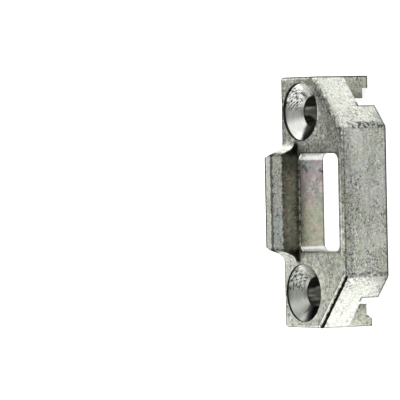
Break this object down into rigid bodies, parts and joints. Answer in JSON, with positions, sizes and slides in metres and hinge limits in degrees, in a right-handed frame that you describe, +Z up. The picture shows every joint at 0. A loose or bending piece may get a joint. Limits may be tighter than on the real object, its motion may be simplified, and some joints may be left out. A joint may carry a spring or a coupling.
{
  "type": "door strike plate",
  "caption": "One-piece die-cast strike plate with chamfered ends, a latch opening beside a raised lip, a deep skirt, stepped end ribs and countersunk screw holes.",
  "frame": {"origin": "middle of the plate's outline, on the plane of the rib feet", "axes": "+X along the plate, +Y across it towards the raised lip, +Z up from the rib feet to the face that the latch meets"},
  "size_m": [0.0362, 0.0162, 0.0118],
  "materials": {
    "zinc_casting": "bare zinc die casting, rough and mottled grey, with machined countersinks and a faint yellow and pink passivation in the opening"
  },
  "bodies": {
    "root": {"strike_plate": "zinc_casting"}
  },
  "joints": []
}
